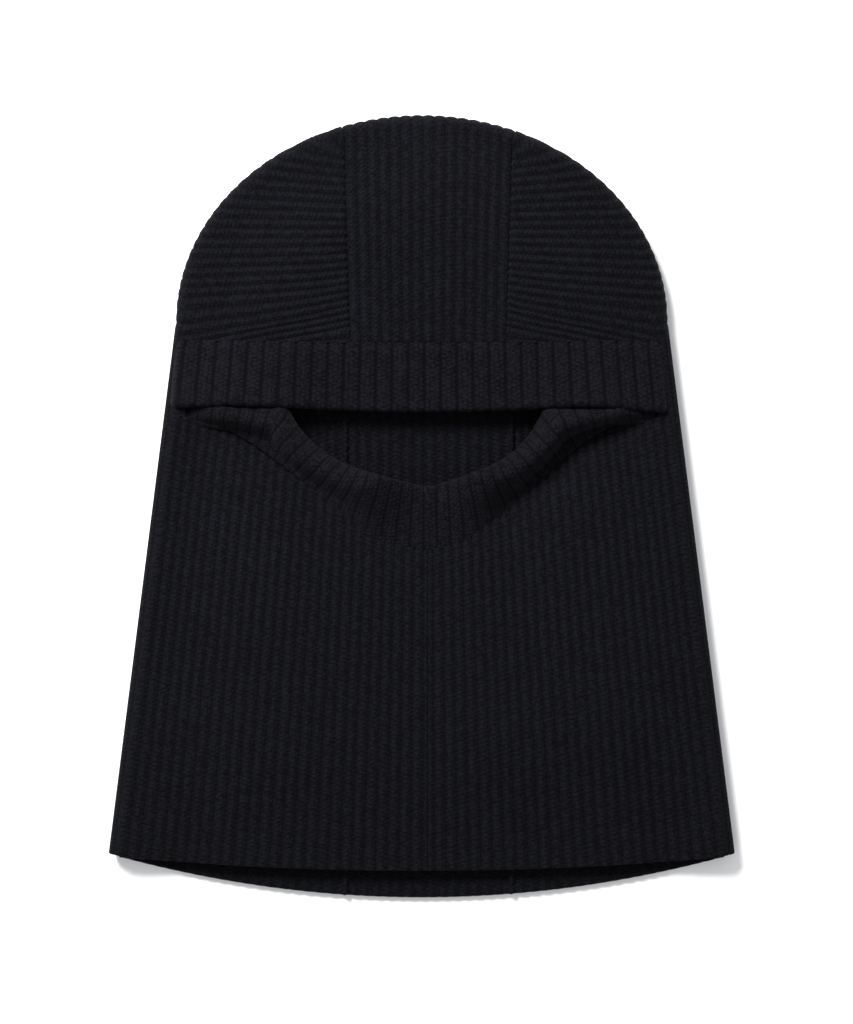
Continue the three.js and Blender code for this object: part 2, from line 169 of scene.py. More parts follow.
def stack(*parts):
    return np.stack(np.broadcast_arrays(*parts), axis=-1).astype(float)


# %% [markdown]
# The laid-out garment is two layers joined by a soft fold along its outline. These functions say where
# the outline, the hems and the edges of the face opening run, and how high the front layer lies. Every
# piece reads the same functions, so that neighbours meet without any fitting.

# %% Outline and edges


def fold_half_width(y):
    return DOME_A + (DOME_Y - y) * SIDE_SLOPE


def inset(x, y):
    side = DOME_HALF_WIDTH + (DOME_Y - y) * SIDE_SLOPE - np.abs(x)
    dome = DOME_HALF_WIDTH * (1 - np.hypot(x / DOME_HALF_WIDTH, (y - DOME_Y) / DOME_HEIGHT))
    return np.where(y < DOME_Y, side, dome)


def back_hem(x):
    return HEM_CORNER_Y - BACK_HEM_DIP * (1 - (x / HEM_HALF_WIDTH) ** 2)


def front_hem(x):
    return HEM_CORNER_Y - FRONT_HEM_DIP * (1 - (x / HEM_HALF_WIDTH) ** 2)


def brow_edge(x):
    return BROW_Y - BROW_SAG * (1 - (x / DOME_HALF_WIDTH) ** 2)


def bib_edge(x):
    run = np.where(x < MIDDLE_X, BIB_RUN[-1], BIB_RUN[1])
    return CHIN_Y + (TEMPLE_Y - CHIN_Y) * smooth(np.abs(x - MIDDLE_X), 0, run)


def seam_x(side, y):
    """The centre strip's edge on the front, which narrows towards the brow."""
    top = DOME_Y + DOME_B
    share = np.clip((top - y) / (top - BROW_Y), 0, 1)
    return MIDDLE_X + side * STRIP_WIDTH / 2 * mix(1, STRIP_BROW_WIDTH / STRIP_WIDTH, share)


# %% Height of the front layer
CHEEK_DIP_RUN = 15
CHEEK_SINK = 3.2
PUFF = 1.6
HEM_SETTLE = 6.0
HEM_RUN = 70
WAVES = np.random.default_rng(7).normal(size=(14, 4))
WAVE_HEIGHT = 0.34


def wave(x, y):
    """Gentle unevenness of a soft cloth that was smoothed out by hand."""
    total = 0
    for along, up, phase, size in WAVES:
        total = total + size * np.sin(0.035 * (along * x + up * y) + 9 * phase)
    return WAVE_HEIGHT * total / 2


def cheek_z(x):
    """Height at which the band is linked to the neck panels."""
    out = np.abs(x - MIDDLE_X)
    half = np.where(x < MIDDLE_X, OPEN_HALF[-1], OPEN_HALF[1])
    level = mix(BROW_Z, CHEEK_Z, smooth(out / half, 0.4, 0.92))
    near_seam = 1 - smooth(np.abs(out - STRIP_WIDTH / 2), 3.6, 12)
    return level + np.maximum(0, OVER_SEAM_Z - level) * near_seam


def loft_z(x, y):
    rise = smooth(inset(x, y), FOLD_RADIUS, FOLD_RADIUS + 50)
    puff = PUFF * smooth(inset(x, y), 14, 60)
    near_hem = 1 - smooth(y - front_hem(x), 0, HEM_RUN)
    settle = HEM_SETTLE * near_hem * smooth(inset(x, y), FOLD_RADIUS, FOLD_RADIUS + 34)
    lift = wave(x, y) * smooth(inset(x, y), FOLD_RADIUS, 26)
    return mix(FRONT_Z, BROW_Z, rise) + puff + lift - settle


def front_z(x, y):
    below = bib_edge(x) - y
    level = loft_z(x, y)
    sink = CHEEK_SINK * smooth(np.abs(x - MIDDLE_X), STRIP_WIDTH / 2, STRIP_WIDTH)
    dip = np.maximum(0, level - cheek_z(x) + sink) * np.exp(-np.maximum(0, below) / CHEEK_DIP_RUN)
    dip = dip * smooth(inset(x, y), FOLD_RADIUS, FOLD_RADIUS + 20)
    return level - np.where(below < -1, 0, dip)


def on_front(x, y):
    """Middle of the front layer, and the direction that its face looks in."""
    d = 0.5
    slope_x = (front_z(x + d, y) - front_z(x - d, y)) / (2 * d)
    slope_y = (front_z(x, y + d) - front_z(x, y - d)) / (2 * d)
    return stack(x, y, front_z(x, y)), unit(stack(-slope_x, -slope_y, 1.0 + 0 * slope_x))


def on_back(x, y):
    return stack(x, y, BACK_Z), stack(0 * x, 0 * y, -1.0)


def on_fold(place_x, place_y, out_x, out_y, turn):
    """Round the outline, from the back layer (turn 0) to the front layer (turn 1)."""
    sweep = np.sin(math.pi * turn)
    out = stack(out_x * sweep, out_y * sweep, -np.cos(math.pi * turn))
    return stack(place_x, place_y, FOLD_RADIUS) + out * FOLD_MID, out


def dome_fold(side, x_abs):
    """The fold's centre line over the crown, and the outline's direction there."""
    share = np.clip(x_abs / DOME_A, 0, 1)
    rise = np.sqrt(1 - share**2)
    out = unit(stack(side * share / DOME_A, rise / DOME_B))
    return side * x_abs, DOME_Y + DOME_B * rise, out[..., 0], out[..., 1]


def side_fold(side, y):
    length = math.hypot(1, SIDE_SLOPE)
    return side * fold_half_width(y), y, side / length + 0 * y, SIDE_SLOPE / length + 0 * y


# %% [markdown]
# Fisherman's rib is a row of round ribs with narrow deep furrows between them. The ribs are real
# relief in the mesh, on both faces; the single stitches, which are only two millimetres high, are left to
# the material. One function makes any knitted piece: it takes a grid of points on the middle of the
# cloth, with the ribs running along the grid's columns, and gives it two faces and closed edges. The
# grid's rib and course numbers are kept as a UV map, so that the stitches of the finish follow the ribs.

# %% Knitted cloth from a grid
RIB_SAMPLES = 8
FURROW = 0.8
EDGE_SOFT = 2.2


def rib_relief(rib, depth=FURROW, fullness=0.85):
    """Depth below the rib's crest: furrows lie at whole numbers."""
    return -depth * (1 - np.abs(np.sin(math.pi * rib)) ** fullness)


def new_object(name, points, faces, uv, sharp=70):
    mesh = bpy.data.meshes.new(name)
    mesh.from_pydata((np.asarray(points) * MM).tolist(), [], faces)
    layer = mesh.uv_layers.new(name="knit")
    layer.data.foreach_set("uv", np.asarray(uv, np.float32).ravel())
    mesh.update()
    piece = bpy.data.objects.new(name, mesh)
    bpy.context.scene.collection.objects.link(piece)
    bpy.ops.object.select_all(action="DESELECT")
    bpy.context.view_layer.objects.active = piece
    piece.select_set(True)
    bpy.ops.object.shade_smooth_by_angle(angle=math.radians(sharp))
    piece.select_set(False)
    return piece


def signed_volume(points, quads):
    a, b, c, d = (points[quads[:, k]] for k in range(4))
    return np.sum(a * np.cross(b, c)) + np.sum(a * np.cross(c, d))


def knitted_sheet(name, middle, out, rib, course, keep, thickness, relief, back_relief):
    """A thick sheet; course is given for each cell's own rib, at its left and right column."""
    rows, columns = middle.shape[:2]
    half = thickness / 2
    front = middle + out * (half + relief)[..., None]
    back = middle - out * (half + back_relief)[..., None]
    points = np.concatenate([front.reshape(-1, 3), back.reshape(-1, 3)])
    index = np.arange(rows * columns).reshape(rows, columns)
    under = rows * columns
    corner = [index[:-1, :-1], index[:-1, 1:], index[1:, 1:], index[1:, :-1]]
    left, right = course
    u = [rib[:-1, :-1], rib[:-1, 1:], rib[1:, 1:], rib[1:, :-1]]
    v = [left[:-1], right[:-1], right[1:], left[1:]]
    quad = np.stack(corner, axis=-1)[keep]
    place = np.stack([np.stack(u, axis=-1), np.stack(v, axis=-1)], axis=-1)[keep]
    quads = [quad, quad[:, ::-1] + under]
    places = [place, place[:, ::-1]]
    padded = np.pad(keep, 1)
    for a, b, next_to in (
        (0, 1, padded[:-2, 1:-1]),
        (1, 2, padded[1:-1, 2:]),
        (2, 3, padded[2:, 1:-1]),
        (3, 0, padded[1:-1, :-2]),
    ):
        edge = keep & ~next_to
        start, end = corner[a][edge], corner[b][edge]
        quads.append(np.stack([end, start, start + under, end + under], axis=-1))
        ends = [np.stack([u[k][edge], v[k][edge]], axis=-1) for k in (b, a)]
        places.append(np.stack([ends[0], ends[1], ends[1], ends[0]], axis=1))
    quads = np.concatenate(quads)
    places = np.concatenate(places)
    if signed_volume(points, quads) < 0:
        quads, places = quads[:, ::-1], places[:, ::-1]
    used, quads = np.unique(quads, return_inverse=True)
    quads = quads.reshape(-1, 4)
    piece = new_object(name, points[used], quads.tolist(), places.reshape(-1, 2))
    print(name, "triangles", 2 * len(quads))
    return piece


def cloth_area(middle, keep=slice(None)):
    """Area of the middle of the cloth, in square metres, or of the cells that keep picks."""
    a, b = middle[:-1, 1:] - middle[:-1, :-1], middle[1:, :-1] - middle[:-1, :-1]
    c, d = middle[1:, 1:] - middle[:-1, 1:], middle[1:, 1:] - middle[1:, :-1]
    cells = np.linalg.norm(np.cross(a, b), axis=-1) + np.linalg.norm(np.cross(c, d), axis=-1)
    return float(np.sum(cells[keep]) / 2 * MM * MM)


# %% [markdown]
# The centre strip is a long straight band of fifteen ribs. It starts at the back hem, lies along the back,
# turns over the crown and narrows a little on its way down to the brow. Its path is one curve, so the
# grid is made by walking along that curve and stepping sideways for the ribs.

# %% The centre strip
STRIP_RIBS = 15
STRIP_ROWS = (150, 14, 44)


def near_edges(count, first=0.16):
    """Steps from 0 to 1 with two extra ones close to each end, for rounded edges."""
    inner = np.linspace(0, 1, count + 1)
    step = inner[1]
    extra = np.array([first * step, 0.5 * step])
    return np.unique(np.concatenate([inner, extra, 1 - extra]))


def edge_rounding(distance):
    """How far both faces come in at a distance in from a cut edge."""
    share = np.clip(distance / EDGE_SOFT, 0, 1)
    return -0.6 * (1 - np.sqrt(1 - (1 - share) ** 2))


def strip_grid():
    across = np.linspace(-1, 1, STRIP_RIBS * RIB_SAMPLES + 1)
    half = STRIP_WIDTH / 2 - JOIN_GAP / 2
    x = MIDDLE_X + across * half
    side = np.where(x < 0, -1, 1)
    fold = dome_fold(side, np.abs(x))
    backs = near_edges(STRIP_ROWS[0])[:, None]
    fold_steps = np.linspace(0, 1, STRIP_ROWS[1] + 1)[:, None]
    back = on_back(x + 0 * backs, mix(back_hem(x), fold[1], backs))
    over = on_fold(*(f + 0 * fold_steps for f in fold), fold_steps)
    fronts = near_edges(STRIP_ROWS[2])[:, None]
    y = mix(fold[1], brow_edge(x), fronts)
    narrow = (seam_x(1, y) - MIDDLE_X) / (STRIP_WIDTH / 2)
    narrow = narrow / narrow[:1]
    front = on_front(MIDDLE_X + (x - MIDDLE_X) * narrow, y)
    middle = np.concatenate([back[0], over[0][1:], front[0][1:]])
    out = np.concatenate([back[1], over[1][1:], front[1][1:]])
    rib = np.broadcast_to((across + 1) / 2 * STRIP_RIBS, middle.shape[:2])
    return middle, out, rib


def walked(middle, axis=0):
    """Distance along the grid's columns."""
    steps = np.linalg.norm(np.diff(middle, axis=axis), axis=-1)
    return np.concatenate([np.zeros_like(steps[:1]), np.cumsum(steps, axis=0)])


middle, out, rib = strip_grid()
along = walked(middle)
course = along / COURSE
to_end = np.minimum(along, along[-1:] - along)
to_side = np.minimum(rib, STRIP_RIBS - rib) * STRIP_WIDTH / STRIP_RIBS
high = np.clip((middle[..., 1] - DOME_Y - 0.7 * DOME_B) / (0.2 * DOME_B), 0, 1)
calm = 1 - 0.3 * high
soft = edge_rounding(to_end) + 0.5 * edge_rounding(to_side) * (1 - 0.8 * high)
keep = np.ones((middle.shape[0] - 1, middle.shape[1] - 1), bool)
centre_strip = knitted_sheet(
    "centre_strip_knit",
    middle,
    out,
    rib,
    (course[:, :-1], course[:, 1:]),
    keep,
    FABRIC,
    rib_relief(rib) * calm + soft,
    rib_relief(rib + 0.5) * calm + soft,
)
print("strip length", round(float(along[-1].mean()), 1), "area", round(cloth_area(middle, keep), 4))

# %% [markdown]
# A side panel is one piece of rib that wraps round the outline. Its ribs start at the hem. Those of the
# neck end at the face opening or at the centre front; those of the back go on up, pass over the crown's
# fold and sweep across the front like a fan to the centre strip. That makes an L-shaped grid: the neck's
# rows hold every rib, and the rows above the temple hold only the ribs that reach the crown.

# %% Paths of the crown's ribs
BACK_RIBS = 18
FOLD_RIBS = 2.5
BROW_RIBS = 4.5
CROWN_RIBS = BACK_RIBS + FOLD_RIBS + BROW_RIBS
BIB_RIBS = {-1: 26, 1: 25}
FAN_TOP_Y = 167
FAN_FIRST, FAN_LAST = 4.3, 2.94
FAN_LEVEL_Y = 128
SIDE_STEP = 100
BACK_POINTS, FOLD_POINTS, FRONT_POINTS = 60, 24, 60


def fan_y(c):
    """Height at which the crown's rib c meets the centre strip."""
    return FAN_TOP_Y - (FAN_FIRST * c - (FAN_FIRST - FAN_LAST) / CROWN_RIBS * c * c / 2)


def fan_slope(y):
    """How a rib leaves the strip: level at one height, rising outwards above it, falling below."""
    return np.where(y > FAN_LEVEL_Y, 0.2 * (y - FAN_LEVEL_Y) / 37, 0.26 * (y - FAN_LEVEL_Y) / 35)


def outline(side, p):
    """The fold's centre line from the crown's middle (p 0) to the dome's foot (p 1) and down the side."""
    dome = dome_fold(side, DOME_A * np.sin(math.pi / 2 * np.clip(p, 0, 1)))
    flank = side_fold(side, DOME_Y - SIDE_STEP * np.maximum(0, p - 1))
    return [np.where(p <= 1, a, b) for a, b in zip(dome, flank)]


def fan_crossing(side, c, outwards):
    """Where rib c, running straight out from the strip, crosses a line round the outline."""
    y = fan_y(c)
    start = np.array([seam_x(side, y) + side * JOIN_GAP / 2, y])
    p = np.linspace(0.18, 1.3, 3000)
    x, rise, out_x, out_y = outline(side, p)
    reach = side * (x + out_x * outwards - start[0])
    above = rise + out_y * outwards - (start[1] + fan_slope(y) * reach)
    passed = np.nonzero((above < 0) & (reach > 0))[0]
    return float(p[passed[0]]) if len(passed) else float(p[-1])


def fan_landing(side, c):
    """Places on the outline for the front edge of the fold and for its outermost line."""
    first = 2 / math.pi * math.asin(abs(MIDDLE_X + side * (STRIP_WIDTH + JOIN_GAP) / 2) / DOME_A)
    last = 1 + (DOME_Y - BROW_Y) / SIDE_STEP
    begin = float(smooth(c, 0, 2.5))
    ribs = BACK_RIBS + FOLD_RIBS
    spare = (fan_crossing(side, ribs, 0) - last) * float(smooth(c, 6, ribs))
    inner = mix(first, fan_crossing(side, c, 0), begin) - spare
    outer = mix(first, fan_crossing(side, c, FOLD_MID), begin) - spare
    return inner, mix(outer, inner, float(smooth(c, BACK_RIBS - 4, BACK_RIBS + 1)))


def hermite(start, end, leave, arrive, t):
    """A smooth curve between two points, with the directions that it leaves and arrives in."""
    t = t[:, None]
    reach = np.linalg.norm(end - start)
    return (
        (2 * t**3 - 3 * t**2 + 1) * start
        + (t**3 - 2 * t**2 + t) * leave * reach
        + (3 * t**2 - 2 * t**3) * end
        + (t**3 - t**2) * arrive * reach
    )


def crown_path(side, c):
    """One rib's way from the brow's level on the back, over the fold, to the centre strip."""
    strip_edge = MIDDLE_X + side * (STRIP_WIDTH + JOIN_GAP) / 2
    y_end = fan_y(c)
    end = np.array([seam_x(side, y_end) + side * JOIN_GAP / 2, y_end])
    arrive = unit(np.array([-side, -float(fan_slope(y_end))]))
    parts = []
    if c <= BACK_RIBS + FOLD_RIBS:
        inner, outer = fan_landing(side, c)
        turn_from = max(0.0, (c - BACK_RIBS) / FOLD_RIBS)
        t = np.linspace(0, 1, BACK_POINTS)
        low = mix(inner, outer, math.sin(math.pi * max(turn_from, 0.5)))
        fold = [float(v) for v in outline(side, np.array(low))]
        if c <= BACK_RIBS:
            x_start = mix(strip_edge, side * fold_half_width(BROW_Y), c / BACK_RIBS)
            a = np.array([x_start, BROW_Y])
            b = np.array([x_start, mix(BROW_Y, fold[1], 0.6)])
            z = np.array(fold[:2])
            curve = np.array([((1 - s) ** 2) * a + 2 * s * (1 - s) * b + s * s * z for s in t])
            place, out = on_back(curve[:, 0], curve[:, 1])
        else:
            rise = [v + 0 * t for v in side_fold(side, mix(BROW_Y, max(fold[1], BROW_Y), t))]
            place, out = on_fold(*rise, turn_from + 0 * t)
        parts.append((place, out, turn_from + 0 * t))
        t = np.linspace(turn_from, 1, FOLD_POINTS)
        bend = outline(side, mix(inner, outer, np.sin(math.pi * np.maximum(t, 0.5))))
        place, out = on_fold(*bend, t)
        parts.append((place, out, t))
        start = np.array([bend[0][-1], bend[1][-1]])
        leave = unit(end - start)
    else:
        share = (c - BACK_RIBS - FOLD_RIBS) / BROW_RIBS
        x = mix(side * fold_half_width(BROW_Y), seam_x(side, BROW_Y) + side * 6, share)
        start = np.array([x, float(brow_edge(x))])
        start[1] = mix(BROW_Y, start[1], smooth(share, 0, 0.1))
        end[1] = mix(end[1], float(brow_edge(end[0])), smooth(share, 0.6, 1))
        leave = unit(mix(unit(end - start), arrive, 0.3))
        arrive = unit(mix(unit(end - start), arrive, 0.5))
    t = np.linspace(0, 1, FRONT_POINTS)
    curve = hermite(start, end, leave, arrive, t)
    place, out = on_front(curve[:, 0], curve[:, 1])
    parts.append((place, out, 1 + 0 * t))
    return [np.concatenate(part) for part in zip(*parts)]


def evenly(points, outs, turns, rows):
    """The same path in equal steps."""
    steps = np.linalg.norm(np.diff(points, axis=0), axis=-1)
    along = np.concatenate([[0], np.cumsum(steps)])
    at = np.linspace(0, along[-1], rows + 1)

    def pick(values):
        return np.interp(at, along, values)

    place = np.stack([pick(points[:, k]) for k in range(3)], axis=-1)
    out = unit(np.stack([pick(outs[:, k]) for k in range(3)], axis=-1))
    return place, out, pick(turns)


# %% The side panels
NECK_ROWS, TEMPLE_ROWS, CROWN_ROWS = 70, 12, 80


def panel_grid(side):
    ribs = BACK_RIBS + FOLD_RIBS + BIB_RIBS[side]
    c = np.linspace(0, ribs, round(ribs * RIB_SAMPLES) + 1)
    strip_edge = MIDDLE_X + side * (STRIP_WIDTH + JOIN_GAP) / 2
    centre = MIDDLE_X + side * JOIN_GAP / 2
    is_back = c <= BACK_RIBS
    is_fold = (c > BACK_RIBS) & (c < BACK_RIBS + FOLD_RIBS)
    is_bib = c >= BACK_RIBS + FOLD_RIBS
    rows = []

    def row(y_side, f):
        """f runs from 0 at the hem to 1 at the temple."""
        middle = np.zeros((len(c), 3))
        out = np.zeros((len(c), 3))
        x = mix(strip_edge, side * fold_half_width(y_side), c[is_back] / BACK_RIBS)
        y = mix(back_hem(x), TEMPLE_Y, f) if f < 1 else y_side + 0 * x
        middle[is_back], out[is_back] = on_back(x, y)
        turn = (c[is_fold] - BACK_RIBS) / FOLD_RIBS
        middle[is_fold], out[is_fold] = on_fold(*side_fold(side, y_side + 0 * turn), turn)
        share = (c[is_bib] - BACK_RIBS - FOLD_RIBS) / BIB_RIBS[side]
        x = mix(side * fold_half_width(y_side), centre, share)
        y = mix(front_hem(x), bib_edge(x), min(f, 1))
        middle[is_bib], out[is_bib] = on_front(x, y)
        return middle, out

    for f in near_edges(NECK_ROWS):
        rows.append(row(mix(HEM_CORNER_Y, TEMPLE_Y, f), f))
    neck_rows = len(rows) - 1
    for f in np.linspace(0, 1, TEMPLE_ROWS + 1)[1:]:
        rows.append(row(mix(TEMPLE_Y, BROW_Y, f), 1))
    open_rows = len(rows) - 1
    crown_columns = round(CROWN_RIBS * RIB_SAMPLES) + 1
    paths = [evenly(*crown_path(side, v), CROWN_ROWS) for v in c[:crown_columns]]
    crown = np.stack([p[0] for p in paths], axis=1)
    crown_out = np.stack([p[1] for p in paths], axis=1)
    turn = np.stack([p[2] for p in paths], axis=1)
    middle, out = (np.stack(part) for part in zip(*rows))
    on_brow = slice(is_bib.argmax(), crown_columns)
    middle[-1, on_brow], out[-1, on_brow] = crown[0, on_brow], crown_out[0, on_brow]
    blank = ((0, 0), (0, len(c) - crown_columns), (0, 0))
    middle = np.concatenate([middle, np.pad(crown[1:], blank)])
    out = np.concatenate([out, np.pad(crown_out[1:], blank, constant_values=1)])
    turned = np.zeros(middle.shape[:2])
    turned[open_rows:, :crown_columns] = turn
    keep = np.ones((middle.shape[0] - 1, len(c) - 1), bool)
    keep[neck_rows:open_rows, is_bib.argmax() :] = False
    keep[open_rows:, crown_columns - 1 :] = False
    rib = np.broadcast_to(c, middle.shape[:2])
    return middle, out, rib, turned, keep, open_rows


def panel_course(side, middle, rib, turned, open_rows):
    """Course numbers: level on the neck and back, and upright on the crown's front."""
    level = middle[..., 1] / COURSE
    beside = -np.abs(middle[..., 0] - seam_x(side, middle[..., 1])) / COURSE
    part = smooth(turned, 0, 1)
    part[:open_rows] = 0
    part[open_rows:, rib[0] >= BACK_RIBS + FOLD_RIBS] = 1
    cell_rib = np.floor((rib[0, :-1] + rib[0, 1:]) / 2).astype(int)
    shift = np.zeros(len(cell_rib))
    for r in np.unique(cell_rib):
        column = min(int((r + 0.5) * RIB_SAMPLES), rib.shape[1] - 1)
        at = np.argmin(np.abs(turned[open_rows:, column] - 0.5)) + open_rows
        shift[cell_rib == r] = np.round(level[at, column] - beside[at, column])
    left = mix(level[:, :-1], beside[:, :-1] + shift, part[:, :-1])
    right = mix(level[:, 1:], beside[:, 1:] + shift, part[:, 1:])
    return left, right


def knit_panel(side, name):
    middle, out, rib, turned, keep, open_rows = panel_grid(side)
    course = panel_course(side, middle, rib, turned, open_rows)
    padded = np.pad(keep, 1)
    inside = padded[:-1, :-1] & padded[:-1, 1:] & padded[1:, :-1] & padded[1:, 1:]
    seam = np.abs(middle[..., 0] - seam_x(side, middle[..., 1]))
    is_front = middle[..., 2] > FRONT_Z - 1
    near_strip = np.where(is_front & (middle[..., 1] > BROW_Y - 4), seam, 99)
    near_back_strip = np.where(is_front, 99, np.abs(rib) * 5)
    near_middle = (BACK_RIBS + FOLD_RIBS + BIB_RIBS[side] - rib) * 5.3
    soft = edge_rounding(np.minimum(np.minimum(near_strip, near_back_strip), near_middle))
    soft = soft + np.where(inside, 0, -0.5)
    on_edge = 1 - 0.6 * np.sin(math.pi * np.clip(turned, 0, 1)) ** 2
    soft = soft * np.where(turned > 0.02, on_edge, 1)
    piece = knitted_sheet(
        name,
        middle,
        out,
        rib,
        course,
        keep,
        FABRIC,
        rib_relief(rib) * on_edge + soft,
        rib_relief(rib + 0.5, depth=0.8) + soft,
    )
    print(name, "area", round(cloth_area(middle, keep), 4))
    return piece


left_side_panel = knit_panel(-1, "left_side_panel_knit")
right_side_panel = knit_panel(1, "right_side_panel_knit")

# %% [markdown]
# The face band is a wide rib, folded double, and linked to the edge of the opening all the way round. It
# lies flat over the brow. At each temple it turns under itself, and along the cheeks it stands up and
# rolls outwards over the neck panels, because its folded edge is shorter than the seam. Each station
# of the band is therefore a curve of its own: from the linked edge, up, over and down to the folded edge.

# %% Stations of the band
BAND_RIB = 7.4
CHEEK_RIB = 6.2
TURN_DROP = 2.5
BAND_FACE_STEPS = 30
BROW_LIFT = 3.4
ROLL_RISE = 10.6
CREST_FALL = 0.45
CREST_OUT = {-1: 0.25, 1: 0.6}
NOSE = 2.1
BROW_FURROW = 1.3
CHEEK_FURROW = 0.5
BROW_TAPER = 0.975
BROW_LAP = 0.3
TEMPLE_LAP = 2.5
LINK_LAP = 0.35
END_DROP = {-1: 1.6, 1: 4.0}
END_IN = {-1: 2.0, 1: 0.8}
FREE_RISE = 1.2
PIVOT_IN = 14
CORNER_IN = 2.6


def free_y(x):
    """The brow's folded edge."""
    return BROW_Y - BAND_WIDTH - BAND_BROW_SAG * (1 - (np.minimum(np.abs(x), TURN_X) / TURN_X) ** 2)


def linked_to_bib(x):
    slope = bib_edge(x + 0.5) - bib_edge(x - 0.5)
    return bib_edge(x) - LINK_LAP * np.hypot(1, slope)


def station(edge, free, edge_z, free_z, roll=0.0, outer=1.0):
    """roll says how far the band stands up; outer moves its crest from the folded edge outwards."""
    return [*edge, *free, edge_z, free_z, roll, outer]


def cheek_stations(side, count=110):
    first, last = CHIN_JOIN_X + side * JOIN_GAP / 2, side * TURN_X
    rows = []
    for f in np.linspace(0, 1, count):
        x = mix(first, last, f)
        lean = mix(1, 0.75, math.sin(math.pi * f))
        out = abs(x - MIDDLE_X) * lean
        slant = OPEN_SLOPE[side]
        steep = OPEN_TOP_Y - CHIN_FREE_Y - slant * OPEN_HALF[side]
        y = CHIN_FREE_Y + slant * out + steep * (out / OPEN_HALF[side]) ** OPEN_CURVE
        y = min(y, float(free_y(TURN_X)))
        free_x = x if f == 0 else MIDDLE_X + side * out
        share = abs(x - MIDDLE_X) / TURN_X
        roll = mix(0.25, 1, float(smooth(share, 0.03, 0.4)))
        roll = roll * (1 - 0.3 * float(smooth(share, 0.8, 1.0)))
        outer = float(smooth(share, 0.25, 0.55))
        outer = outer + CREST_OUT[side] * float(smooth(share, 0.5, 0.72))
        edge_z = float(cheek_z(x))
        before_turn = 1 - float(smooth(share, 0.7, 0.95))
        free_z = edge_z + FREE_RISE * float(smooth(share, 0.05, 0.4)) * before_turn
        edge = (x, float(linked_to_bib(np.array(float(x)))))
        rows.append(station(edge, (free_x, y), edge_z, free_z, roll, outer))
    return rows


def turn_stations(side, count=26):
    """From the cheek round to the brow, under the brow's end."""
    end = BAND_END[side] - side * END_IN[side]
    inner = end - side * PIVOT_IN
    pivot = np.array([inner, float(free_y(TURN_X)) + 1.5])
    low, high = TEMPLE_Y - TEMPLE_LAP, BROW_Y + BROW_LAP
    inset_end = end - side * CORNER_IN
    linked = float(linked_to_bib(np.array(float(side * TURN_X))))
    corners = np.array([[side * TURN_X, linked], [inset_end, low], [inset_end * BROW_TAPER, high]])
    legs = np.linalg.norm(np.diff(corners, axis=0), axis=1)
    rows = []
    for f in np.linspace(0, 1, count)[1:]:
        at = f * legs.sum()
        k = 0 if at < legs[0] else 1
        share = at / legs[0] if k == 0 else (at - legs[0]) / legs[1]
        edge = mix(corners[k], corners[k + 1], share)
        cheek_free = np.array([side * TURN_X, float(free_y(TURN_X))])
        free = mix(cheek_free, pivot, smooth(f, 0, 0.3))
        brow_free = np.array([inset_end, float(free_y(end)) - END_DROP[side]])
        free = mix(free, brow_free, smooth(f, 0.55, 1))
        z = mix(CHEEK_Z, BROW_Z - 2 * TURN_DROP, f)
        roll = 0.7 * float(1 - smooth(f, 0, 0.45))
        rows.append(station(edge, free, z, z, roll))
    return rows


def brow_stations(count=150):
    rows = []
    right, left = BAND_END[1] - END_IN[1], BAND_END[-1] + END_IN[-1]
    turn_steps = np.linspace(0, 1, 14)

    def upright(x, drop, steps=1.0):
        reach = float(np.clip(x, left, right))
        edge_z = float(front_z(np.array(reach * 0.97), np.array(float(brow_edge(reach))))) - drop
        lift = BROW_LIFT * mix(-0.55, 1, float(smooth(abs(x), 40, 78))) * steps
        sag = -float(smooth(abs(x), 0.7 * TURN_X, 116)) * END_DROP[1 if x > 0 else -1]
        edge = (x * BROW_TAPER, float(brow_edge(reach)) + BROW_LAP)
        return station(edge, (x, float(free_y(x)) + sag), edge_z, edge_z + lift)

    for side, end in ((1, right), (-1, left)):
        steps = turn_steps if side == 1 else turn_steps[::-1]
        if side == -1:
            for x in np.linspace(right - TURN_DROP, left + TURN_DROP, count)[1:-1]:
                rows.append(upright(x, 0))
        for t in steps:
            x = end - side * TURN_DROP * (1 - math.sin(math.pi * t))
            rows.append(upright(x, TURN_DROP * (1 + math.cos(math.pi * t)), float(smooth(t, 0.4, 1))))
    return rows


def band_stations():
    right = cheek_stations(1) + turn_stations(1)
    left = cheek_stations(-1) + turn_stations(-1)
    return np.array(right + brow_stations() + left[::-1])


# %% [markdown]
# The stations become one grid. Along the cheeks a station's curve climbs to a crest and falls away a
# little towards the folded edge; over the brow it is straight. The grid is then spaced anew by rib, with
# about eight points to each.

# %% The band's middle surface


def band_middle(stations, q):
    """Each station's curve from its linked edge (q 0) to its folded edge (q 1)."""
    edge, free = stations[:, 0:2], stations[:, 2:4]
    edge_z, free_z, roll, outer = (stations[:, k, None] for k in (4, 5, 6, 7))
    chord = np.linalg.norm(free - edge, axis=1, keepdims=True)
    way = (free - edge) / np.maximum(chord, 1e-6)
    chord = chord - NOSE
    reach = chord * q
    wall_from, wall_to = mix(0.02, 0.2, outer), mix(0.95, 0.7, outer)
    crest = smooth(q, wall_from, wall_to) * (1 - CREST_FALL * outer * smooth(q, wall_to + 0.02, 1.15))
    z = mix(edge_z, free_z, q) + ROLL_RISE * roll * crest
    place = edge[:, None, :] + way[:, None, :] * reach[..., None]
    return np.concatenate([place, z[..., None]], axis=-1)


